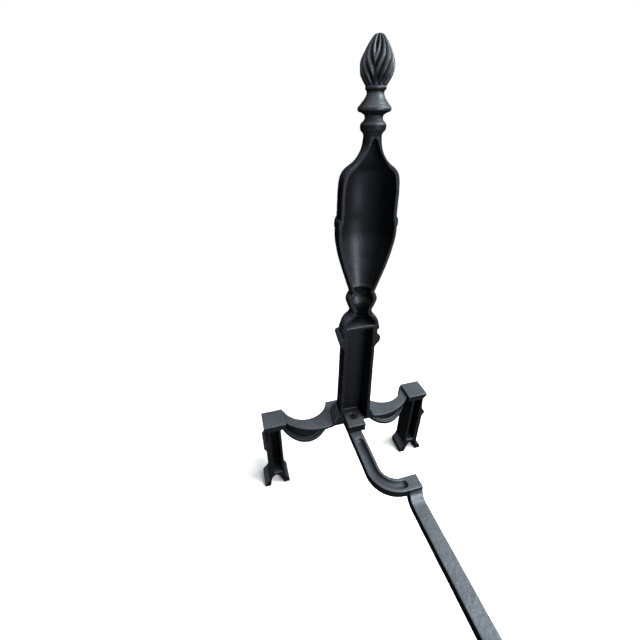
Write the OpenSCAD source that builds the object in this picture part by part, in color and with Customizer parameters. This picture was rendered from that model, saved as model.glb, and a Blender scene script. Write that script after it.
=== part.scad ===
// Andiron: a hollow-backed cast iron front with a fluted flame finial, standing on a
// two-legged base with scooped legs, with a log bar bolted beneath it at the back.
// Millimetres, +Z up, front towards -Y. The origin is on the floor, under the middle.

/* [Foot base] */
// Height of the blocks over the feet
block_top = 105.4; // [100:0.2:112]
// How far the blocks stand above the land and the legs
block_step = 3.4; // [2:0.2:5]
// Outer face of the blocks, from the middle
block_out = 101.2; // [98:0.2:108]
// Inner face of the blocks, from the middle
block_in = 76.4; // [75.5:0.1:79]
// Front to back depth of the blocks and pillars
leg_depth = 24; // [20:0.5:28]
// Thickness of the cast walls of the base
leg_wall = 4; // [3:0.25:5]
// Half width of the flat land that the post stands on
land_half = 25; // [24.4:0.1:29]
// Radius of the scoop in the front of each leg
scoop_r = 26.4; // [24:0.2:26.6]
// How far the legs bow out behind the post's axis
leg_back = 4.7; // [3:0.1:7]
// Radius of the arch under each leg
arch_r = 42; // [40:0.5:43]
// Depth of the lip along the bottom of each leg
lip_depth = 7.6; // [6:0.2:9]
// Width of each foot pillar
pillar_w = 18.4; // [17:0.2:21]
// How far each toe spreads beyond its pillar
toe_out = 7.5; // [4:0.5:9]
// How far each inner toe spreads inside its pillar
toe_in = 5.2; // [2:0.2:7]
// Height of the notch between the toes
notch_h = 19; // [12:0.5:22]
// Width of the notch between the toes
notch_w = 16.5; // [10:0.5:17]

/* [Post] */
// Wall of the hollow vase
vase_wall = 2.6; // [2:0.1:3]
// Walls of the hollow pedestal
pedestal_wall = 3.4; // [2.8:0.1:4]
// Half width of the back of the pedestal under its cap
pedestal_half = 15.8; // [15:0.1:17]
// How much wider each side of the pedestal is at its foot
pedestal_draft = 1.6; // [0.5:0.1:2.5]
// Depth of the pedestal in front of the post's axis
pedestal_front = 14.8; // [14:0.2:17]
// Height of the top of the pedestal
pedestal_top = 222.5; // [210:0.5:235]
// How far the flat open back lies behind the post's axis
post_back = 5.5; // [4.5:0.1:6]
// Widest radius of the vase, at its band
vase_r = 25.6; // [24:0.1:28]

/* [Finial] */
// Overall height to the tip of the flame
total_h = 440; // [425:0.5:455]
// Height of the finial
finial_h = 44; // [40:0.5:48]
// Widest radius of the flame
flame_r = 11.3; // [9:0.1:13]
// Number of flutes round the flame
flute_n = 14; // [10:1:16]
// Depth of the flutes at the widest point
flute_depth = 1.2; // [0.4:0.1:1.6]
// Radius of the collar under the flame
collar_r = 11.4; // [10:0.1:13]
// Radius of the threaded stud
stud_r = 3; // [2.5:0.1:3.4]
// Length of the stud in the finial
stud_up = 12; // [9:0.5:15]
// Length of the stud in the post
stud_down = 9; // [7:0.25:10]

/* [Log bar] */
// Width of the arm and the bar
bar_w = 14; // [12:0.5:15.5]
// Thickness of the arm and the bar
bar_t = 9.5; // [7:0.5:11]
// How far the bar lies below the arm
bar_drop = 12; // [9:0.5:16]
// How far the arm's middle lies to one side of the bolt
arm_side = 1.3; // [-1.5:0.1:1.5]
// Distance from the post's axis to the start of the arm's bend
bend_at = 62.5; // [50:0.5:75]
// Outer radius of the arm's bend
bend_r = 29.5; // [27:0.5:33]
// How far the bar's middle lies to one side of the post
bar_side = 31; // [29:0.5:36]
// Width of the trough along the arm's top
trough_w = 7.4; // [4:0.2:8]
// Depth of the trough
trough_d = 2.8; // [1:0.1:3.5]
// Distance from the post's axis to the back of the rear leg
bar_reach = 344; // [300:1:400]
// Outer radius of the bend over the rear leg
rear_bend_r = 20; // [14:0.5:26]
// Width of the rear foot
rear_foot_w = 22; // [16:0.5:28]
// Length of the rear foot
rear_foot_len = 16; // [12:0.5:24]
// Thickness of the rear foot
rear_foot_t = 5; // [4:0.5:8]

/* [Bolted joint] */
// Width of the lugs that the bolt passes through
lug_w = 20; // [18:0.2:22]
// Thickness of the post's lug
lug_t = 3.6; // [3.2:0.1:5]
// Thickness of the base's lug
base_lug_t = 7; // [5:0.5:9]
// How far the lugs reach behind the post's axis
lug_reach = 15; // [13:0.1:17]
// Distance of the bolt behind the post's axis
bolt_at = 0.6; // [-1:0.1:3]
// Radius of the bolt's shank
bolt_r = 2.5; // [2:0.1:2.8]
// Radius of the bolt's countersunk head
head_r = 4.6; // [4.2:0.1:5]
// Depth of the bolt's countersunk head
head_t = 2.4; // [2:0.1:2.6]
// Width of the driver slot in the head
slot_w = 1.2; // [0.8:0.1:1.6]
// Radius of the washer
washer_r = 6.2; // [5.6:0.1:6.6]
// Thickness of the washer
washer_t = 1.2; // [0.8:0.1:1.6]
// Width of the nut across its flats
nut_flats = 8; // [7.4:0.2:9]
// Thickness of the nut
nut_t = 4; // [3:0.25:5]
// Length of bolt standing out below the nut
bolt_tail = 2.5; // [1:0.5:5]

/* [Hidden] */
$fn = 64;
// Gap all round a bolt or stud in its hole
fit = 0.05;
// Gap between a locating edge and the wall beside it
seat_gap = 0.3;
// Overlap that makes cuts and joined pieces of one casting run past each other
over = 1;
// Steps in each stretch of a drawn curve
curve_steps = 4;
// The base's front face stands this far in front of the post's axis
base_front = 32.5;
leg_rear = leg_depth - base_front;
// The post's axis stands this far in front of the middle of the whole length
back_end = bar_reach + rear_foot_len / 2 - bar_t / 2;
frame_shift = (back_end - base_front) / 2;

// Land, scoops, arches and pillars
land_top = block_top - block_step;
scoop_x = 49.4;
scoop_y = -38.9;
bow_x = 36.6;
bow_r = 52;
arch_x = 52;
arch_z = land_top - 31 + arch_r;
web_low = land_top - 14;
pillar_out = block_out - 0.4;
pillar_in = pillar_out - pillar_w;
toe_mid = pillar_out - 8.05;
ear_z = block_top - 33.8;

// Heights in the bolted stack, from the top down
lug_top = land_top + lug_t;
arm_top = land_top - base_lug_t;
arm_low = arm_top - bar_t;
tongue_front = -9;
head_sink = 0.4;

// Heights up the post and the finial
post_top = total_h - finial_h;
function up(h) = pedestal_top + h * (post_top - pedestal_top) / 173.5;
function fin(h) = post_top + h * finial_h / 44;

// A smooth curve through the points p, in so many steps to each stretch
function blend(a, b, c, d, t) =
    0.5 * (2 * b + (c - a) * t + (2 * a - 5 * b + 4 * c - d) * t * t
           + (3 * b - a - 3 * c + d) * t * t * t);
function curve(p, steps = curve_steps) =
    [for (i = [0 : len(p) - 2], s = [0 : steps - 1])
        blend(p[max(i - 1, 0)], p[i], p[i + 1], p[min(i + 2, len(p) - 1)], s / steps),
     p[len(p) - 1]];

// Places a piece drawn round the post's axis in the frame of the whole object
module placed() translate([0, -frame_shift, 0]) children();

// A flat outline drawn in X and Z, made solid from y_front back to y_rear
module slab_y(y_front, y_rear)
    translate([0, y_rear, 0]) rotate([90, 0, 0]) linear_extrude(y_rear - y_front) children();

// A flat outline drawn in Y and Z, made solid to width w across the middle
module slab_x(w)
    translate([-w / 2, 0, 0]) rotate([90, 0, 90]) linear_extrude(w) children();

module both_sides() {
    children();
    mirror([1, 0, 0]) children();
}

/* ---- flame finial ---- */

// Radius of the flame at the share t of its height
flame_low = fin(17);
flame_h = total_h - flame_low;
flame_shape = curve([[0, 0.64], [0.117, 0.8], [0.234, 0.95], [0.377, 1], [0.502, 0.96],
                     [0.642, 0.82], [0.796, 0.59], [0.928, 0.36], [1, 0.2]], 2);
// Turn of the flutes at the share t of the flame's height: upright, then swirling
function swirl(t) = 46 * t * t * (3 - 2 * t);
function flute(a) = abs(cos(flute_n * a / 2));
function flame_radius(a, p) =
    flame_r * p[1] - flute_depth * p[1] * (1 - flute(a - swirl(p[0]))) * min(1, p[0] * 6 + 0.2);

module flame() {
    sides = flute_n * 4;
    rings = len(flame_shape);
    points = [for (p = flame_shape, j = [0 : sides - 1])
        let (a = j * 360 / sides + swirl(p[0]), r = flame_radius(a, p))
            [r * cos(a), r * sin(a), flame_low + flame_h * p[0]]];
    walls = [for (i = [0 : rings - 2], j = [0 : sides - 1])
        let (k = (j + 1) % sides, a = i * sides, b = a + sides)
            each [[a + j, b + j, b + k], [a + j, b + k, a + k]]];
    polyhedron(points, concat([[for (j = [0 : sides - 1]) j]], walls,
        [[for (j = [sides - 1 : -1 : 0]) (rings - 1) * sides + j]]));
}

module flame_finial() color([0.2, 0.21, 0.22]) placed() {
    flame();
    difference() {
        rotate_extrude() polygon(concat([[0, post_top]], curve([
            [6.3, post_top], [6.7, fin(1.4)], [collar_r - 3, fin(2.8)], [collar_r - 0.7, fin(3.9)],
            [collar_r, fin(5.1)], [collar_r - 0.2, fin(5.9)]]), curve([
            [collar_r - 0.9, fin(7.1)], [collar_r - 2.6, fin(8.7)], [7.1, fin(10.6)],
            [6.1, fin(12.4)], [5.7, fin(13.6)]]),
            curve([[6, fin(15)], [7.1, fin(15.6)], [7.5, fin(16.3)], [7.3, fin(16.9)]]),
            [[5, fin(17.6)], [5, fin(20)], [0, fin(20)]]));
        translate([0, 0, post_top - over]) cylinder(r = stud_r + fit, h = stud_up + over);
    }
}

module finial_stud() color([0.45, 0.46, 0.47]) placed()
    translate([0, 0, post_top - stud_down]) cylinder(r = stud_r, h = stud_up + stud_down);

/* ---- post: bead, hollow vase and hollow pedestal in one casting ---- */

// Outline of the neck and bead under the finial
bead_line = curve([[6.3, post_top], [6.5, up(172.3)], [7.3, up(171.3)], [8.5, up(170.2)],
                   [9.1, up(168.4)], [8.6, up(165.9)], [7, up(164.4)]]);
// Outlines of the vase above and below its band, of the knop and of the turned foot
shoulder_line = curve([[6.5, up(163)], [6.9, up(158.5)], [7.8, up(154.5)], [9.8, up(150.3)],
    [12.4, up(146.7)], [15.8, up(143.9)], [vase_r - 6.6, up(141.5)], [vase_r - 4, up(138)],
    [vase_r - 2.6, up(133)], [vase_r - 2, up(125.5)], [vase_r - 1.8, up(115.5)],
    [vase_r - 1.6, up(107)]]);
bowl_line = curve([[vase_r - 0.4, up(105.7)], [vase_r, up(103)], [vase_r, up(100)]]);
cup_line = curve([[vase_r - 0.5, up(99.2)], [vase_r - 0.4, up(93.5)], [vase_r - 0.8, up(88.5)],
    [vase_r - 1.8, up(83)], [vase_r - 3.2, up(76.5)], [vase_r - 5.2, up(69.5)], [18, up(62)],
    [15.3, up(54)], [12.6, up(46)], [11.5, up(42.6)]]);
knop_line = curve([[12, up(40.8)], [13.6, up(37.5)], [14.1, up(34.5)], [12.7, up(30.2)],
    [10.7, up(25.6)], [10.3, up(23)]]);
foot_line = curve([[11.8, up(19)], [14.5, up(16)], [16.5, up(13.2)], [17.9, up(10)],
    [18.5, up(7.2)]]);
roll_line = curve([[18.9, up(6)], [19.5, up(3.8)], [19, up(1.8)], [17.4, up(0.6)]]);

module turned_solid() rotate_extrude() polygon(concat([[0, post_top]], bead_line, shoulder_line,
    bowl_line, cup_line, knop_line, foot_line, roll_line,
    [[17.2, pedestal_top - over], [0, pedestal_top - over]]));

// Outline of the hollow, a wall's thickness inside
shelf_top = up(7);
hollow_line = curve([[4.9, up(162.2)], [5.6, up(160.4)], [6.1, up(157.5)], [7, up(154)],
    [8.7, up(150)], [11.2, up(146)], [14.2, up(142.2)], [vase_r - vase_wall - 4.6, up(138)],
    [vase_r - vase_wall - 2.9, up(132)], [vase_r - vase_wall - 2.1, up(124)],
    [vase_r - vase_wall - 1.7, up(107)], [vase_r - vase_wall - 0.4, up(100)],
    [vase_r - vase_wall - 0.5, up(90)], [vase_r - vase_wall - 1.8, up(82.5)],
    [vase_r - vase_wall - 5.2, up(69.2)], [17.9 - vase_wall, up(61)],
    [12.6 - vase_wall, up(45)]]);
low_hollow_line = curve([[11 - vase_wall, up(42.6)], [13.2 - vase_wall, up(36.5)],
    [12.8 - vase_wall, up(31)], [10.4 - vase_wall, up(25)], [11 - vase_wall, up(19.4)],
    [13.4 - vase_wall, up(16)]]);

module vase_hollow() {
    rotate_extrude() polygon(concat([[0, up(162.2)]], hollow_line, low_hollow_line,
        [[15 - vase_wall, up(13)], [16.6 - vase_wall, up(12.4)], [16.8 - vase_wall, up(9.4)],
         [17.8 - vase_wall, up(9)], [17.8 - vase_wall, shelf_top], [0, shelf_top]]));
}

// The back is cut off flat below the bead
module open_back() translate([-2 * vase_r, post_back, pedestal_top - 2 * over])
    cube([4 * vase_r, 2 * vase_r, up(163) - pedestal_top + 2 * over]);

// Half outline of the pedestal: cap moulding, tapering side and three reeds at the foot
foot_half = pedestal_half + pedestal_draft;
function reed(x, z) = [[x, z + 4], [x + 1.1, z + 3.7], [x + 1.9, z + 2.8], [x + 2.1, z + 1.4],
                       [x + 1.8, z]];
function pedestal_side(half, foot) = concat(
    curve([[half + 1.5, pedestal_top], [half + 1.3, pedestal_top - 2.8],
     [half + 3.2, pedestal_top - 5], [half + 4.8, pedestal_top - 7],
     [half + 5, pedestal_top - 9], [half + 4.2, pedestal_top - 12.6],
     [half + 1.4, pedestal_top - 16], [half, pedestal_top - 18.4]]),
    [[foot, land_top + 18], [foot + 0.3, land_top + 14.6]],
    reed(foot + 0.5, land_top + 9.9), reed(foot + 2.4, land_top + 5.6),
    reed(foot + 4.3, land_top + 1.3), [[foot + 6, land_top]]);

// An outline in X and Z made into both sides of a solid that narrows towards the front
plan_draft = 7;
module drafted() both_sides() translate([0, post_back, 0]) rotate([0, 0, -plan_draft])
    slab_y(-2 * base_front, 4) children();

module pedestal_solid() {
    intersection() {
        drafted() polygon(concat([[-2, pedestal_top]], pedestal_side(pedestal_half, foot_half),
            [[-2, land_top]]));
        slab_x(6 * vase_r) polygon(concat([[post_back, pedestal_top]],
            [for (p = pedestal_side(pedestal_front, pedestal_front)) [-p[0], p[1]]],
            [[post_back, land_top]]));
    }
    front_panel();
}

// The pedestal's hollow, with the plate that closes its top left standing
plate_t = 3;
hollow_front = pedestal_front - pedestal_wall;
module pedestal_hollow() intersection() {
    drafted() polygon([[-2, shelf_top - plate_t], [pedestal_half - pedestal_wall, shelf_top - plate_t],
        [foot_half - pedestal_wall, land_top - over], [-2, land_top - over]]);
    slab_x(6 * vase_r) polygon([[2 * vase_r, shelf_top - plate_t], [3 - hollow_front, shelf_top - plate_t],
        [-hollow_front, land_top - over], [2 * vase_r, land_top - over]]);
}

// Raised panel with a round head on the front of the pedestal
panel_w = 17;
panel_low = land_top + 24;
panel_h = pedestal_top - 32 - panel_w / 2 - panel_low;
module front_panel()
    slab_y(-pedestal_front - 0.8, -pedestal_front + over) {
        translate([-panel_w / 2, panel_low]) square([panel_w, panel_h]);
        translate([0, panel_low + panel_h]) circle(r = panel_w / 2);
    }

// Lug inside the pedestal's foot: it lies on the base's lug and takes the bolt
module post_lug() translate([-lug_w / 2, -hollow_front - over, land_top])
    cube([lug_w, lug_reach + hollow_front + over, lug_t]);

module post() color([0.17, 0.18, 0.19]) placed() difference() {
    union() {
        difference() {
            union() {
                difference() {
                    turned_solid();
                    open_back();
                }
                pedestal_solid();
            }
            vase_hollow();
            pedestal_hollow();
        }
        post_lug();
    }
    translate([0, 0, post_top - stud_down - 0.5]) cylinder(r = stud_r + fit, h = stud_down + over);
    translate([0, bolt_at, land_top - over]) cylinder(r = bolt_r + fit, h = lug_t + 2 * over);
    translate([0, bolt_at, lug_top - head_t - head_sink])
        cylinder(r1 = bolt_r + fit, r2 = head_r + 0.3, h = head_t);
    translate([0, bolt_at, lug_top - head_sink]) cylinder(r = head_r + 0.3, h = over);
}

/* ---- leg base: two scooped legs, foot pillars and toes in one casting ---- */

// Plan of one leg: bowed at the back, scooped at the front
module leg_plan() difference() {
    union() {
        intersection() {
            translate([bow_x, leg_back - bow_r]) circle(r = bow_r, $fn = 128);
            translate([12, -base_front]) square([pillar_in - 9, base_front + leg_back + over]);
        }
        translate([0, -base_front]) square([land_half, base_front + leg_back - 2]);
    }
    translate([scoop_x, scoop_y]) circle(r = scoop_r, $fn = 128);
}

// The strip of that plan within the depth d of its front edge
module front_strip(d) intersection() {
    leg_plan();
    union() {
        translate([scoop_x, scoop_y]) circle(r = scoop_r + d, $fn = 128);
        translate([-over, -base_front - over]) square([land_half + over, d + over]);
    }
}

// Leg from the front: an arch below, level with the land on top
module leg_front() {
    intersection() {
        translate([arch_x, arch_z]) circle(r = arch_r, $fn = 128);
        translate([10, land_top - 40]) square([pillar_in - 7, 40]);
    }
    translate([0, web_low]) square([land_half, land_top - web_low]);
}

module low_lip() difference() {
    leg_front();
    translate([arch_x, arch_z]) circle(r = arch_r - leg_wall - 0.5, $fn = 128);
    translate([-over, web_low + leg_wall]) square([land_half / 2, 20]);
}

// Outer side of a pillar: recess under the cap, ear moulding, pillar and toe
outer_line = concat([[block_out - 3.8, block_top - 8], [block_out - 3.6, block_top - 17]],
    curve([[block_out - 3, ear_z + 12], [block_out - 1.4, ear_z + 6.4], [block_out + 1.6, ear_z + 2.4],
           [block_out + 2.4, ear_z], [block_out + 0.8, ear_z - 3], [pillar_out, ear_z - 5]]),
    curve([[pillar_out, 19], [pillar_out + 0.5, 13.4], [pillar_out + toe_out * 0.45, 9],
           [pillar_out + toe_out * 0.9, 5.4], [pillar_out + toe_out, 3]]),
    [[pillar_out + toe_out, 0]]);
inner_line = concat([[pillar_in - toe_in, 0]],
    curve([[pillar_in - toe_in, 3], [pillar_in - toe_in * 0.9, 7], [pillar_in - toe_in * 0.35, 12],
           [pillar_in, 17]]),
    [[pillar_in, block_top - 8]]);

module pillar_front() difference() {
    polygon(concat(outer_line, inner_line));
    foot_notch();
}

module foot_notch() polygon(concat([[toe_mid - notch_w / 2, -over]],
    curve([for (p = [[-1, 0], [-0.76, 0.42], [-0.41, 0.82], [0.1, 1], [0.62, 0.82], [0.88, 0.42],
                     [1, 0]]) [toe_mid + p[0] * notch_w / 2, p[1] * notch_h]]),
    [[toe_mid + notch_w / 2, -over]]));

module block_front() polygon([[block_in, land_top - leg_wall], [block_in, block_top],
    [block_out, block_top], [block_out, block_top - 4.2], [block_out - 3.8, block_top - 8],
    [block_out - 3.8, land_top - leg_wall - over], [pillar_in, land_top - leg_wall - over]]);

// Hollow behind the pillar's front wall
module pillar_hollow() translate([pillar_in + leg_wall - 1, notch_h + leg_wall])
    square([pillar_w - 2 * leg_wall - 0.6, land_top - 2 * leg_wall - notch_h]);

module leg() {
    translate([0, 0, land_top - leg_wall]) linear_extrude(leg_wall) leg_plan();
    intersection() {
        slab_y(-base_front, post_back) leg_front();
        linear_extrude(land_top) front_strip(leg_wall);
    }
    intersection() {
        slab_y(-base_front, post_back) low_lip();
        linear_extrude(land_top) front_strip(lip_depth);
    }
    slab_y(-base_front, leg_rear) block_front();
    difference() {
        slab_y(-base_front, leg_rear) pillar_front();
        slab_y(leg_wall - base_front, over) pillar_hollow();
    }
}

// Raised edges that key the post's hollow on the base
key_half = pedestal_half - pedestal_wall - seat_gap;
module leg_base() color([0.18, 0.19, 0.2]) placed() difference() {
    union() {
        both_sides() leg();
        translate([-lug_w / 2, -base_front + over, arm_top])
            cube([lug_w, base_front - over + lug_reach - 0.6, base_lug_t]);
        both_sides() translate([lug_w / 2 + seat_gap, -5, land_top - over])
            cube([key_half - lug_w / 2 - seat_gap, 8, over + 2]);
    }
    translate([0, bolt_at, 0]) cylinder(r = bolt_r + fit, h = 2 * land_top);
}

/* ---- log bar: tongue, bent arm, log stop, level bar and rear leg in one casting ---- */

// The arm from above: straight under the lugs, then bending sideways to the stop
bend_x = arm_side + bar_w / 2 - bend_r;
bend_in = bend_r - bar_w;
stop_rear = bend_at + bend_r;
bar_x = -bar_side;
bar_top = arm_top - bar_drop;

// Points along an arc
function arc(x, y, r, from, to) =
    [for (i = [0 : 24]) let (a = from + (to - from) * i / 24) [x + r * cos(a), y + r * sin(a)]];

module arm_plan() polygon(concat([[arm_side + bar_w / 2, tongue_front]],
    arc(bend_x, bend_at, bend_r, 0, 90),
    [[bar_x - bar_w / 2, stop_rear], [bar_x - bar_w / 2, stop_rear - bar_w]],
    arc(bend_x, bend_at, bend_in, 90, 0), [[arm_side - bar_w / 2, tongue_front]]));

// The bar from the side, from the stop's back edge down to the level bar
drop_top = curve([[stop_rear, arm_top], [stop_rear + 0.8, arm_top - bar_drop * 0.35],
    [stop_rear + 3, arm_top - bar_drop * 0.72], [stop_rear + 7, bar_top + 0.5],
    [stop_rear + 13, bar_top]]);
drop_low = curve([[stop_rear + 12, bar_top - bar_t], [stop_rear + 5, bar_top - bar_t + 0.8],
    [stop_rear - 1, bar_top - bar_t + 4], [stop_rear - 5, arm_low - bar_drop * 0.3],
    [stop_rear - 9, arm_low]]);
straight_end = bar_reach - rear_bend_r;

module bar_profile() {
    polygon(concat([[stop_rear - 9, arm_low + over], [stop_rear - over, arm_top]], drop_top,
        [[straight_end, bar_top], [straight_end, bar_top - bar_t]], drop_low));
    // Bend and rear leg
    difference() {
        translate([straight_end, bar_top - rear_bend_r]) circle(r = rear_bend_r);
        translate([straight_end, bar_top - rear_bend_r]) circle(r = rear_bend_r - bar_t);
        translate([straight_end - 2 * rear_bend_r, bar_top - 3 * rear_bend_r])
            square([2 * rear_bend_r, 4 * rear_bend_r]);
        translate([straight_end - rear_bend_r, bar_top - 3 * rear_bend_r])
            square([4 * rear_bend_r, 2 * rear_bend_r]);
    }
    translate([bar_reach - bar_t, 0]) square([bar_t, bar_top - rear_bend_r]);
}

// Trough along the middle of the arm, with rounded ends
trough_from = 27;
bend_mid = bend_r - bar_w / 2;
module trough_plan() polygon(concat(arc(arm_side, trough_from, trough_w / 2, 180, 360),
    arc(bend_x, bend_at, bend_mid + trough_w / 2, 0, 90),
    arc(bend_x, bend_at + bend_mid, trough_w / 2, 98, 262),
    arc(bend_x, bend_at, bend_mid - trough_w / 2, 90, 0)));

module log_bar() color([0.2, 0.21, 0.23]) placed() difference() {
    union() {
        translate([0, 0, arm_low]) linear_extrude(bar_t) arm_plan();
        translate([bar_x, 0, 0]) {
            slab_x(bar_w) bar_profile();
            translate([-rear_foot_w / 2, bar_reach - bar_t / 2 - rear_foot_len / 2, 0])
                cube([rear_foot_w, rear_foot_len, rear_foot_t]);
        }
    }
    translate([0, 0, arm_top - trough_d]) linear_extrude(2 * trough_d) trough_plan();
    translate([0, bolt_at, arm_low - over]) cylinder(r = bolt_r + fit, h = bar_t + 2 * over);
}

/* ---- bolt, washer and nut that hold the three castings together ---- */

bolt_low = arm_low - washer_t - nut_t - bolt_tail;

module bar_bolt() color([0.4, 0.41, 0.42]) placed() translate([0, bolt_at, 0]) difference() {
    union() {
        translate([0, 0, bolt_low]) cylinder(r = bolt_r, h = lug_top - head_sink - bolt_low);
        translate([0, 0, lug_top - head_t - head_sink]) cylinder(r1 = bolt_r, r2 = head_r, h = head_t);
    }
    translate([-slot_w / 2, -2 * head_r, lug_top - head_sink - 1.2]) cube([slot_w, 4 * head_r, 2]);
}

module bolt_washer() color([0.5, 0.51, 0.52]) placed()
    translate([0, bolt_at, arm_low - washer_t]) difference() {
        cylinder(r = washer_r, h = washer_t);
        translate([0, 0, -over]) cylinder(r = bolt_r + 4 * fit, h = washer_t + 2 * over);
    }

module bolt_nut() color([0.45, 0.46, 0.48]) placed()
    translate([0, bolt_at, arm_low - washer_t - nut_t]) difference() {
        cylinder(r = nut_flats / sqrt(3), h = nut_t, $fn = 6);
        translate([0, 0, -over]) cylinder(r = bolt_r + fit, h = nut_t + 2 * over);
    }

flame_finial();
finial_stud();
post();
leg_base();
log_bar();
bar_bolt();
bolt_washer();
bolt_nut();
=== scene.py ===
import math

import bpy
from mathutils import Matrix, Vector


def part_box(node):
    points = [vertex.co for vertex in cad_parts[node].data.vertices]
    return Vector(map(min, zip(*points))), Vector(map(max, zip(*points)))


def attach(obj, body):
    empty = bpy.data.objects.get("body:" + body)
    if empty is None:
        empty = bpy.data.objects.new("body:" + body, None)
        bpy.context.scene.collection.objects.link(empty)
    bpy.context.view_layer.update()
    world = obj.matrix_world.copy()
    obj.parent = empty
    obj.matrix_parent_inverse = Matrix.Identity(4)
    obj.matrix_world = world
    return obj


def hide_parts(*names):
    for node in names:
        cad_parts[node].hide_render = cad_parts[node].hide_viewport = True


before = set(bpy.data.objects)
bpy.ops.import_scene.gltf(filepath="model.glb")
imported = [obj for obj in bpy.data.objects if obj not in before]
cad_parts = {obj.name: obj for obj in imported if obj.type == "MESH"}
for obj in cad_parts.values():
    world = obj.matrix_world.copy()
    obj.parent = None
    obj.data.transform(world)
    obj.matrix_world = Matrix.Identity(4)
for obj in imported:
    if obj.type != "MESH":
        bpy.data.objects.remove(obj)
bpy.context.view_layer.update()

MM = 0.001

# ---- camera, at the photograph's viewing angle ----

CAMERA_AT = Vector((105.5, 84.8, 395.3)) * MM
CAMERA_YAW = math.radians(15.44)
CAMERA_PITCH = math.radians(31.61)
CAMERA_ROLL = math.radians(-0.27)
FOCAL_PX = 326.7
FRAME_PX = 640
SENSOR_MM = 36.0
NEAREST_SEEN = 10 * MM


def add_camera():
    """A camera behind and above the andiron, aimed at its hollow back."""
    forward = Vector((
        -math.sin(CAMERA_YAW) * math.cos(CAMERA_PITCH),
        -math.cos(CAMERA_YAW) * math.cos(CAMERA_PITCH),
        -math.sin(CAMERA_PITCH),
    ))
    right = forward.cross(Vector((0, 0, 1))).normalized()
    up = right.cross(forward)
    rolled_right = right * math.cos(CAMERA_ROLL) + up * math.sin(CAMERA_ROLL)
    rolled_up = up * math.cos(CAMERA_ROLL) - right * math.sin(CAMERA_ROLL)
    data = bpy.data.cameras.new("camera")
    data.sensor_width = SENSOR_MM
    data.lens = SENSOR_MM * FOCAL_PX / FRAME_PX
    data.clip_start = NEAREST_SEEN
    camera = bpy.data.objects.new("camera", data)
    camera.matrix_world = (
        Matrix.Translation(CAMERA_AT)
        @ Matrix((rolled_right, rolled_up, -forward)).transposed().to_4x4()
    )
    bpy.context.scene.collection.objects.link(camera)
    bpy.context.scene.camera = camera


# ---- shader nodes ----

# The places of the colour sockets on a Mix node.
MIX_SHARE = 0
MIX_FIRST = 6
MIX_SECOND = 7
MIX_RESULT = 2


def grey(level):
    return (level, level, level)


class Shading:
    """The nodes of a world or a material, with a method for each kind of step."""

    def __init__(self, owner):
        owner.use_nodes = True
        self.nodes = owner.node_tree.nodes
        self.links = owner.node_tree.links

    def add(self, kind, **sources):
        """A new node, with the outputs that feed it given by the names of its inputs."""
        node = self.nodes.new(kind)
        for name, source in sources.items():
            self.links.new(source, node.inputs[name])
        return node

    def combine(self, operation, first, second):
        """Two numbers made into one, by multiplying them or taking the larger."""
        node = self.add("ShaderNodeMath")
        node.operation = operation
        self.links.new(first, node.inputs[0])
        self.links.new(second, node.inputs[1])
        return node.outputs[0]

    def map_range(self, value, start, end, low=0.0, high=1.0, kind="LINEAR"):
        """Turns start to end into low to high, and holds it between them."""
        node = self.add("ShaderNodeMapRange", Value=value)
        node.interpolation_type = kind
        node.inputs["From Min"].default_value = start
        node.inputs["From Max"].default_value = end
        node.inputs["To Min"].default_value = low
        node.inputs["To Max"].default_value = high
        return node.outputs[0]

    def noise(self, size_mm, detail, roughness=0.55):
        """Noise that is fixed to the object, in blotches of about the given size."""
        place = self.add("ShaderNodeTexCoord")
        node = self.add("ShaderNodeTexNoise", Vector=place.outputs["Object"])
        node.inputs["Scale"].default_value = 1.0 / (size_mm * MM)
        node.inputs["Detail"].default_value = detail
        node.inputs["Roughness"].default_value = roughness
        return node.outputs["Fac"]

    def ramp(self, value, *stops):
        """A colour for a value, from two or more stops of a place and a colour."""
        node = self.add("ShaderNodeValToRGB", Fac=value)
        elements = node.color_ramp.elements
        for i, (place, colour) in enumerate(stops):
            element = elements[i] if i < len(elements) else elements.new(place)
            element.position = place
            element.color = (*colour, 1)
        return node.outputs[0]

    def mix_colours(self, kind, first, second, share=None):
        """Two colours mixed by a share, or fully where none is given."""
        node = self.add("ShaderNodeMix")
        node.data_type = "RGBA"
        node.blend_type = kind
        node.inputs[MIX_SHARE].default_value = 1.0
        if share is not None:
            self.links.new(share, node.inputs[MIX_SHARE])
        self.links.new(first, node.inputs[MIX_FIRST])
        self.links.new(second, node.inputs[MIX_SECOND])
        return node.outputs[MIX_RESULT]

    def bump(self, height, relief, strength, over=None):
        """Relief from a height, laid over another bump where one is given."""
        node = self.add("ShaderNodeBump", Height=height)
        node.inputs["Strength"].default_value = strength
        node.inputs["Distance"].default_value = relief
        if over is not None:
            self.links.new(over, node.inputs["Normal"])
        return node.outputs[0]

    def whiten(self, shader, share, output):
        """Sends a shader to an output, with plain white taking its place by a share."""
        white = self.add("ShaderNodeEmission")
        white.inputs["Strength"].default_value = 1.0
        mix = self.add("ShaderNodeMixShader")
        for socket, source in enumerate((share, shader, white.outputs[0])):
            self.links.new(source, mix.inputs[socket])
        self.links.new(mix.outputs[0], output)


# ---- light and floor ----

WORLD_COLOUR = (0.96, 0.98, 1.0, 1)
WORLD_STRENGTH = 0.3
PAPER_COLOUR = (0.93, 0.93, 0.93, 1)
# In metres. The floor keeps its shadows up to the start of the fade, and is plain white to the
# camera from its end on.
FLOOR_HALF = 4.0
FADE_START = 0.2
FADE_END = 0.62


def add_area_light(name, location, target, size, power):
    """A round soft lamp, aimed at a point. Places and size are in metres, power in watts."""
    data = bpy.data.lights.new(name, "AREA")
    data.shape = "DISK"
    data.size = size
    data.energy = power
    lamp = bpy.data.objects.new(name, data)
    lamp.location = location
    aim = Vector(target) - Vector(location)
    lamp.rotation_euler = aim.to_track_quat("-Z", "Y").to_euler()
    bpy.context.scene.collection.objects.link(lamp)


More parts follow.
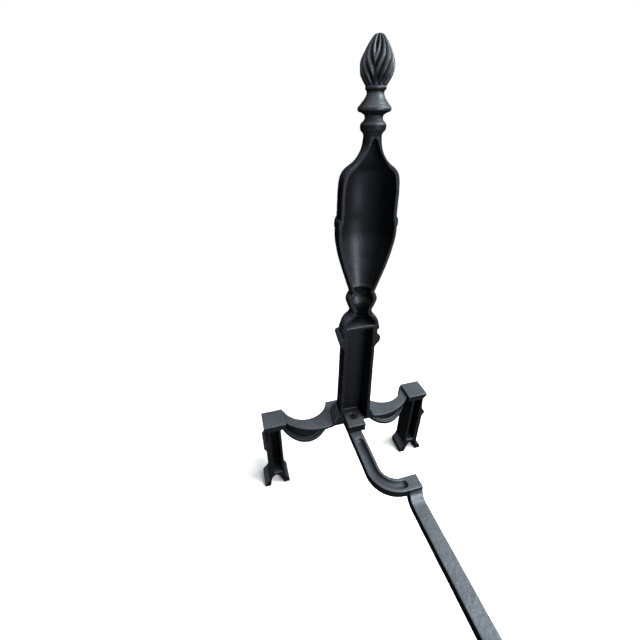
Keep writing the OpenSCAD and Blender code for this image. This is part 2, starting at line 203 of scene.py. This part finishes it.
def set_world():
    """A soft surround that is plain white to the camera and in reflections."""
    world = bpy.data.worlds.new("studio")
    bpy.context.scene.world = world
    shading = Shading(world)
    shading.nodes.clear()
    soft = shading.add("ShaderNodeBackground")
    soft.inputs["Color"].default_value = WORLD_COLOUR
    soft.inputs["Strength"].default_value = WORLD_STRENGTH
    path = shading.add("ShaderNodeLightPath")
    seen = path.outputs["Is Camera Ray"]
    for kind in ("Is Glossy Ray", "Is Transmission Ray"):
        seen = shading.combine("MAXIMUM", seen, path.outputs[kind])
    out = shading.add("ShaderNodeOutputWorld")
    shading.whiten(soft.outputs[0], seen, out.inputs["Surface"])


def white_paper():
    """Pale paper, which the camera sees fade to plain white away from the object."""
    paper = bpy.data.materials.new("paper")
    shading = Shading(paper)
    shader = shading.nodes["Principled BSDF"]
    shader.inputs["Base Color"].default_value = PAPER_COLOUR
    shader.inputs["Roughness"].default_value = 0.9
    shader.inputs["Specular IOR Level"].default_value = 0.1
    place = shading.add("ShaderNodeTexCoord")
    away = shading.add("ShaderNodeVectorMath")
    away.operation = "LENGTH"
    shading.links.new(place.outputs["Object"], away.inputs[0])
    fade = shading.map_range(away.outputs["Value"], FADE_START, FADE_END, kind="SMOOTHSTEP")
    path = shading.add("ShaderNodeLightPath")
    seen = shading.combine("MULTIPLY", fade, path.outputs["Is Camera Ray"])
    out = shading.nodes["Material Output"]
    shading.whiten(shader.outputs[0], seen, out.inputs["Surface"])
    return paper


def add_floor():
    corners = [(x * FLOOR_HALF, y * FLOOR_HALF, 0) for x, y in ((-1, -1), (1, -1), (1, 1), (-1, 1))]
    mesh = bpy.data.meshes.new("floor")
    mesh.from_pydata(corners, [], [(0, 1, 2, 3)])
    mesh.materials.append(white_paper())
    floor = bpy.data.objects.new("floor", mesh)
    bpy.context.scene.collection.objects.link(floor)


# ---- metals ----

# A face takes the full dusty colour, which stands for dust and painted top light, from this Z of
# its normal on.
FACING_UP = 0.8
# Dust lies in patches, which leave this share of it where they are thinnest. A surface that is
# boxed in, within the shelter's reach, keeps the smaller share, which is painted shade.
DUST_PATCH_MM = 22
THIN_DUST = 0.72
SHELTER_REACH = 12 * MM
SHELTER_SHADE_SHARE = 0.25
SPECK_MM = 0.9
# Pointiness is 0.5 on a flat face, less in a crease and more on an edge. Creases get painted
# shade. Edges get rubbed wear with a painted highlight, strongest at the second of the three values
# for edges, and gone at the third, so that no point turns bright.
CREASE_BOTTOM = 0.4
CREASE_END = 0.49
EDGE_START = 0.545
EDGE_BRIGHTEST = 0.61
EDGE_END = 0.7
# How many times lighter than the dusty colour an edge with rubbed wear and painted highlight is.
EDGE_WEAR_AND_HIGHLIGHT_LIGHTER = 1.7
# The sheen goes from a little smoother than the metal's roughness to a little rougher.
SHEEN_PATCH_MM = 9
SMOOTHER = 0.07
ROUGHER = 0.1
# The cast skin has pits several grains wide under its grains.
PIT_GRAINS = 4
PIT_RELIEF = 0.4 * MM
GRAIN_RELIEF = 0.12 * MM


def dust_and_top_light_share(shading, surface, dust_and_top_light_from):
    """How much of the dusty colour a point takes, for dust and painted top light. It comes in as
    the normal's Z rises past the given start, lies in patches, and is thinner, as painted shade,
    where the surface is boxed in."""
    parts = shading.add("ShaderNodeSeparateXYZ", Vector=surface.outputs["Normal"])
    # Faces turned up take the dusty colour, as dust and as painted top light.
    upward = shading.map_range(parts.outputs["Z"], dust_and_top_light_from, FACING_UP, kind="SMOOTHSTEP")
    patches = shading.noise(DUST_PATCH_MM, detail=4)
    patchy = shading.map_range(patches, start=0.3, end=0.7, low=THIN_DUST)
    # Painted shade: boxed-in places, found by ambient occlusion, lose most of the dusty colour.
    shelter = shading.add("ShaderNodeAmbientOcclusion")
    shelter.inputs["Distance"].default_value = SHELTER_REACH
    openness = shelter.outputs["AO"]
    out_of_painted_shade = shading.map_range(openness, start=0.3, end=0.85, low=SHELTER_SHADE_SHARE)
    return shading.combine("MULTIPLY", shading.combine("MULTIPLY", upward, patchy), out_of_painted_shade)


def worn_metal(name, colour, dust_and_top_light_colour, roughness, grain_mm, grain_strength,
               metallic=0.5, dust_and_top_light_from=0.05):
    """Metal with a grain, specks, a mottled sheen, painted shade in creases and edges lightened by
    rubbed wear and a painted highlight, which takes its dusty colour, for dust and painted top
    light, where it faces up."""
    material = bpy.data.materials.new(name)
    shading = Shading(material)
    shader = shading.nodes["Principled BSDF"]
    surface = shading.add("ShaderNodeNewGeometry")
    pointiness = surface.outputs["Pointiness"]

    top_light_and_dust = dust_and_top_light_share(shading, surface, dust_and_top_light_from)
    base = shading.ramp(top_light_and_dust, (0.0, colour), (1.0, dust_and_top_light_colour))
    speckle = shading.noise(SPECK_MM, detail=3, roughness=0.7)
    specks = shading.ramp(speckle, (0.35, grey(0.72)), (0.72, grey(1.25)))
    base = shading.mix_colours("MULTIPLY", base, specks)
    # Painted shade: creases are darkened in the colour.
    painted_crease_shade = shading.ramp(pointiness, (CREASE_BOTTOM, grey(0.12)), (CREASE_END, grey(1)))
    base = shading.mix_colours("MULTIPLY", base, painted_crease_shade)
    # Edges are lightened, as rubbed wear and as a painted highlight.
    edges = shading.ramp(
        pointiness, (EDGE_START, grey(0)), (EDGE_BRIGHTEST, grey(0.5)), (EDGE_END, grey(0)),
    )
    rubbed_and_highlit = shading.add("ShaderNodeRGB").outputs[0]
    rubbed_and_highlit.default_value = (*[min(1, c * EDGE_WEAR_AND_HIGHLIGHT_LIGHTER) for c in dust_and_top_light_colour], 1)
    base = shading.mix_colours("MIX", base, rubbed_and_highlit, share=edges)

    mottle = shading.noise(SHEEN_PATCH_MM, detail=5)
    sheen = shading.map_range(mottle, 0.0, 1.0, low=roughness - SMOOTHER, high=roughness + ROUGHER)
    hollows = shading.noise(grain_mm * PIT_GRAINS, detail=5)
    pits = shading.bump(hollows, PIT_RELIEF, grain_strength)
    grains = shading.noise(grain_mm, detail=3, roughness=0.65)
    skin = shading.bump(grains, GRAIN_RELIEF, grain_strength, over=pits)
    for socket, source in (("Base Color", base), ("Roughness", sheen), ("Normal", skin)):
        shading.links.new(source, shader.inputs[socket])
    shader.inputs["Metallic"].default_value = metallic
    shader.inputs["Specular IOR Level"].default_value = 0.0
    shader.inputs["Specular Tint"].default_value = (0, 0, 0, 1)
    return material


# ---- pieces ----

WELD_GAP = 0.01 * MM


def new_piece(name, mesh, material, slot, *nodes):
    """A piece of one material, which hides the nodes that it stands for. Its slot is not used."""
    piece = bpy.data.objects.new(name, mesh)
    bpy.context.scene.collection.objects.link(piece)
    mesh.materials.clear()
    mesh.materials.append(material)
    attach(piece, "root")
    if nodes:
        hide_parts(*nodes)
    return piece


def copied_piece(node, name, material, slot):
    """A piece that starts as a copy of the node it replaces, with its faces joined up."""
    piece = new_piece(name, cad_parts[node].data.copy(), material, slot, node)
    weld = piece.modifiers.new("weld", "WELD")
    weld.merge_threshold = WELD_GAP
    return piece


def flatten_modifiers(piece):
    """Makes what the modifiers show into the piece's own mesh."""
    graph = bpy.context.evaluated_depsgraph_get()
    done = bpy.data.meshes.new_from_object(piece.evaluated_get(graph))
    piece.modifiers.clear()
    piece.data = done


def ring_mesh(name, rings):
    """A closed solid from rings of points that all have the same count, capped at both ends."""
    count = len(rings[0])
    top = (len(rings) - 1) * count
    faces = [tuple(reversed(range(count)))]
    for start in range(0, top, count):
        for j in range(count):
            k = (j + 1) % count
            faces.append((start + j, start + k, start + count + k, start + count + j))
    faces.append(tuple(range(top, top + count)))
    mesh = bpy.data.meshes.new(name)
    mesh.from_pydata([point for ring in rings for point in ring], [], faces)
    mesh.update()
    for face in mesh.polygons:
        face.use_smooth = face.index not in (0, len(faces) - 1)
    return mesh


def axis_of(low, high):
    """The X and Y of the upright line through the middle of a box."""
    return (low[0] + high[0]) / 2, (low[1] + high[1]) / 2


# ---- castings ----

# The sizes of the low lumps in the castings' faces, and of the ripples on them.
LUMP_MM = 14
RIPPLE_MM = 3
LUMP_DETAIL = 3


def add_casting(node, material, slot, voxel_mm, rounding, lump_height_mm):
    """A node's own shape with softened edges and the uneven skin of a sand casting."""
    piece = copied_piece(node, node + "_casting", material, slot)
    remesh = piece.modifiers.new("skin", "REMESH")
    remesh.mode = "VOXEL"
    remesh.voxel_size = voxel_mm * MM
    remesh.use_smooth_shade = True
    smooth = piece.modifiers.new("rounding", "SMOOTH")
    smooth.iterations = rounding
    for size_mm, height_mm in ((LUMP_MM, lump_height_mm), (RIPPLE_MM, lump_height_mm / 2)):
        texture = bpy.data.textures.new(node + "_lumps", "CLOUDS")
        texture.noise_scale = size_mm * MM
        texture.noise_depth = LUMP_DETAIL
        displace = piece.modifiers.new("lumps", "DISPLACE")
        displace.texture = texture
        displace.texture_coords = "LOCAL"
        displace.strength = height_mm * MM
    flatten_modifiers(piece)
    return piece


# The post's upright axis goes through the middle of the finial.
AXIS_X, AXIS_Y = axis_of(*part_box("flame_finial"))
POST_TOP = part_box("post")[1][2]
POST_BACK_Y = AXIS_Y + 5.5 * MM

# The hollow in the vase's back: its reach in height and to each side, how deep below the flat
# back its blend starts, and over what depth and height the blend comes in.
VASE_LOW = POST_TOP - 107 * MM
VASE_HIGH = POST_TOP - 30 * MM
VASE_HALF_WIDTH = 23.5 * MM
RIM_DEPTH = 2.625 * MM
BLEND_FADE = 9 * MM
BLEND_ROUNDS = 260
# The least Y of the normal of a face that opens to the back.
OPEN_TO_BACK = 0.2


def smooth_vase_hollow(post):
    """Blends the rings of the vase's hollow into one smooth sweep."""
    inside = post.vertex_groups.new(name="hollow")
    for vertex in post.data.vertices:
        x, y, z = vertex.co
        aside = abs(x - AXIS_X)
        below_rim = (POST_BACK_Y - RIM_DEPTH - y) / BLEND_FADE
        from_ends = min(z - VASE_LOW, VASE_HIGH - z) / BLEND_FADE
        share = min(1.0, below_rim, from_ends)
        if share > 0 and aside < VASE_HALF_WIDTH and vertex.normal.y > OPEN_TO_BACK:
            inside.add([vertex.index], share, "REPLACE")
    blend = post.modifiers.new("blend", "SMOOTH")
    blend.iterations = BLEND_ROUNDS
    blend.vertex_group = inside.name
    flatten_modifiers(post)


# The trough runs along the middle of the arm: straight back from its start, and then round a
# bend towards -X.
ARM_HALF_WIDTH = 7 * MM
TROUGH_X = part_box("log_bar")[1][0] - ARM_HALF_WIDTH
TROUGH_START_Y = AXIS_Y + 26.975 * MM
BEND_START_Y = AXIS_Y + 62.475 * MM
BEND_RADIUS = 22.5 * MM
TROUGH_HALF_WIDTH = 3.95 * MM
TROUGH_DEPTH = 3.8 * MM
# What lies further below the arm's top than this is its underside, and stays.
TROUGH_REACH = 3.3 * MM


def distance_from_trough(x, y):
    """How far a point is to the side of the middle of the trough, or past either end of it."""
    across = x - TROUGH_X
    past_start = y - TROUGH_START_Y
    past_bend = y - BEND_START_Y
    from_centre = across + BEND_RADIUS
    if past_start < 0:
        return math.hypot(across, past_start)
    if past_bend < 0:
        return abs(across)
    if from_centre > 0:
        return abs(math.hypot(from_centre, past_bend) - BEND_RADIUS)
    return math.hypot(from_centre, past_bend - BEND_RADIUS)


def round_out_trough(bar):
    """Turns the square-cut trough along the arm's top into a round-bottomed one."""
    arm_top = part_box("log_bar")[1][2]
    for vertex in bar.data.vertices:
        x, y, z = vertex.co
        share = distance_from_trough(x, y) / TROUGH_HALF_WIDTH
        if share < 1.0 and z > arm_top - TROUGH_REACH:
            vertex.co.z = arm_top - TROUGH_DEPTH * math.sqrt(1.0 - share * share)


# ---- finial ----

FLUTES = 14
FLUTE_DEPTH = 2.4 * MM
POINTS_PER_FLUTE = 16
# The flutes part into a V at this angle round the flame, and lean away from it as they rise, up
# to a share of the flame's height.
PARTING = math.radians(57)
LEAN = math.radians(42)
LEAN_DONE = 0.85
# The flutes come in over this share of the flame's height, and are shallower where its radius
# is less than this.
FLUTE_START = 1 / 7
FLUTE_FULL_RADIUS = 7 * MM

# Radius and height, in millimetres, on a finial of the drawn height.
DRAWN_HEIGHT = 44
COLLAR = [(6.3, 0), (6.7, 1.4), (8.6, 2.6), (10.8, 3.4), (11.35, 4.5), (11.3, 5.6), (10.7, 6.4)]
FLARE = [(9.9, 7.2), (8.6, 8.8), (7.1, 10.6), (6.1, 12.4), (5.75, 13.6)]
RING = [(6.1, 15.0), (6.8, 15.6), (7.05, 16.6), (6.8, 17.5)]
FLAME = [(7.2, 17.8), (9.05, 20.6), (10.75, 23.7), (11.25, 27.5), (10.8, 30.8),
         (9.2, 34.5), (6.7, 38.6), (4.1, 42.1), (2.7, 43.4)]
TIP_RADIUS = 1.2 * MM
TIP_BELOW_TOP = 0.2 * MM


def spline(points, steps):
    """A smooth line through the points, in so many steps to each stretch."""
    line = []
    for i in range(len(points) - 1):
        a, b, c, d = (Vector(points[min(max(i + k, 0), len(points) - 1)]) for k in (-1, 0, 1, 2))
        for s in range(steps):
            t = s / steps
            line.append(0.5 * (2 * b + (c - a) * t + (2 * a - 5 * b + 4 * c - d) * t * t
                               + (3 * b - a - 3 * c + d) * t * t * t))
    return line + [Vector(points[-1])]


def finial_profile(low, high):
    """Radius and height up the finial, and how far up the flame that is, from 0 to 1."""
    scale = (high - low) / DRAWN_HEIGHT
    plain = spline(COLLAR, 5) + spline(FLARE, 5) + spline(RING, 4)
    line = [(radius * MM, low + height * scale, 0.0) for radius, height in plain]
    flame = spline(FLAME, 7)
    for i, (radius, height) in enumerate(flame):
        line.append((radius * MM, low + height * scale, i / (len(flame) - 1)))
    line.append((TIP_RADIUS, high - TIP_BELOW_TOP, 1.0))
    return line


def add_finial(material):
    """The finial on its collar, with its flutes cut round the flame."""
    low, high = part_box("flame_finial")
    middle_x, middle_y = axis_of(low, high)
    sides = FLUTES * POINTS_PER_FLUTE
    rings = []
    for radius, height, share in finial_profile(low[2], high[2]):
        rise = min(1.0, share / LEAN_DONE)
        lean = LEAN * rise * rise * (3 - 2 * rise)
        depth = FLUTE_DEPTH * min(1.0, share / FLUTE_START) * min(1.0, radius / FLUTE_FULL_RADIUS)
        ring = []
        for j in range(sides):
            angle = 2 * math.pi * j / sides
            from_parting = abs((angle - PARTING + math.pi) % (2 * math.pi) - math.pi)
            groove = 1.0 - abs(math.cos(FLUTES * (from_parting - lean) / 2))
            r = radius - depth * groove
            ring.append((middle_x + r * math.cos(angle), middle_y + r * math.sin(angle), height))
        rings.append(ring)
    return new_piece("fluted_flame", ring_mesh("fluted_flame", rings), material, "casting",
                     "flame_finial")


# ---- hardware ----

THREAD_SIDES = 32
STEPS_PER_TURN = 8
# A thread fades at both ends, over so many steps, to a plain rod cut by this share of its depth.
RUN_OUT_STEPS = 6
RUN_OUT_CUT = 0.6

STUD_PITCH = 1.0 * MM
STUD_THREAD_DEPTH = 0.45 * MM
BOLT_PITCH = 0.8 * MM
BOLT_THREAD_DEPTH = 0.35 * MM
# A little over the shank that it covers, and starting inside the nut.
BOLT_THREAD_RADIUS = 2.62 * MM
THREAD_INTO_NUT = 1 * MM

BEVEL_SEGMENTS = 3
BEVEL_FROM_ANGLE = math.radians(35)


def thread_rings(axis, low, high, radius, pitch, depth):
    """Rings of a right-handed V thread along an upright rod."""
    steps = int((high - low) / (pitch / STEPS_PER_TURN))
    rings = []
    for i in range(steps + 1):
        height = low + (high - low) * i / steps
        full = min(1.0, (steps - i) / RUN_OUT_STEPS, i / RUN_OUT_STEPS)
        ring = []
        for j in range(THREAD_SIDES):
            angle = 2 * math.pi * j / THREAD_SIDES
            phase = (height / pitch - j / THREAD_SIDES) % 1.0
            groove = 1 - abs(2 * phase - 1)
            r = radius - depth * (groove * full + RUN_OUT_CUT * (1 - full))
            ring.append((axis[0] + r * math.cos(angle), axis[1] + r * math.sin(angle), height))
        rings.append(ring)
    return rings


def add_stud(material):
    """The finial's stud, threaded from end to end."""
    low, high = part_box("finial_stud")
    radius = (high[0] - low[0]) / 2
    rings = thread_rings(
        axis_of(low, high), low[2], high[2], radius, STUD_PITCH, STUD_THREAD_DEPTH,
    )
    return new_piece("threaded_stud", ring_mesh("threaded_stud", rings), material, "steel",
                     "finial_stud")


def add_machined(node, name, material, bevel_mm):
    """A node's own shape with small rounded edges all round."""
    piece = copied_piece(node, name, material, "blackened_steel")
    bevel = piece.modifiers.new("edges", "BEVEL")
    bevel.width = bevel_mm * MM
    bevel.segments = BEVEL_SEGMENTS
    bevel.limit_method = "ANGLE"
    bevel.angle_limit = BEVEL_FROM_ANGLE
    flatten_modifiers(piece)
    return piece


def add_bolt_thread(material):
    """Thread on the bolt's tail, which stands out below the nut."""
    low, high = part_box("bar_bolt")
    thread_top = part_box("bolt_nut")[0][2] + THREAD_INTO_NUT
    rings = thread_rings(
        axis_of(low, high), low[2], thread_top, BOLT_THREAD_RADIUS, BOLT_PITCH, BOLT_THREAD_DEPTH,
    )
    return new_piece("bolt_thread", ring_mesh("bolt_thread", rings), material, "blackened_steel")


# ---- the scene ----

add_camera()
set_world()
add_floor()
add_area_light("key", (-0.95, 0.3, 1.35), (0, -0.1, 0.2), size=0.8, power=47)
add_area_light("top", (0.2, 0.1, 1.9), (0, -0.1, 0.2), size=1.2, power=5)
add_area_light("back", (-0.5, 1.1, 0.35), (0, -0.16, 0.3), size=0.7, power=42)
add_area_light("side", (-1.5, -0.1, 0.9), (0, -0.15, 0.35), size=0.7, power=34)
add_area_light("front", (-0.6, -1.7, 1.0), (0, -0.18, 0.2), size=1.0, power=9)

black = worn_metal(
    "satin_black_casting", colour=(0.006, 0.0066, 0.0078), dust_and_top_light_colour=(0.066, 0.076, 0.086),
    roughness=0.41, grain_mm=0.7, grain_strength=0.4,
)
bar_black = worn_metal(
    "bar_casting", colour=(0.0055, 0.0065, 0.0075), dust_and_top_light_colour=(0.072, 0.083, 0.094),
    roughness=0.43, grain_mm=0.8, grain_strength=0.55,
)
black_steel = worn_metal(
    "blackened_steel", colour=(0.004, 0.004, 0.005), dust_and_top_light_colour=(0.02, 0.022, 0.025),
    roughness=0.4, grain_mm=0.4, grain_strength=0.15,
)
# The flame takes its dusty colour far down its sides, as dust and as painted sheen.
flame_black = worn_metal(
    "flame_dust_and_painted_sheen", colour=(0.004, 0.0045, 0.0055), dust_and_top_light_colour=(0.068, 0.077, 0.086),
    roughness=0.36, grain_mm=0.5, grain_strength=0.25, dust_and_top_light_from=-0.6,
)
steel = worn_metal(
    "bright_steel", colour=(0.3, 0.3, 0.31), dust_and_top_light_colour=(0.38, 0.38, 0.39),
    roughness=0.3, grain_mm=0.3, grain_strength=0.1, metallic=1.0,
)

smooth_vase_hollow(
    add_casting("post", black, "casting", voxel_mm=0.5, rounding=3, lump_height_mm=0.25)
)
add_casting("leg_base", black, "casting", voxel_mm=0.5, rounding=2, lump_height_mm=0.3)
round_out_trough(
    add_casting("log_bar", bar_black, "bar_casting", voxel_mm=0.6, rounding=4, lump_height_mm=0.35)
)
add_finial(flame_black)
add_stud(steel)
add_machined("bar_bolt", "countersunk_bolt", black_steel, bevel_mm=0.2)
add_machined("bolt_washer", "plain_washer", black_steel, bevel_mm=0.2)
add_machined("bolt_nut", "hex_nut", black_steel, bevel_mm=0.35)
add_bolt_thread(black_steel)

bpy.context.scene.view_settings.view_transform = "Standard"
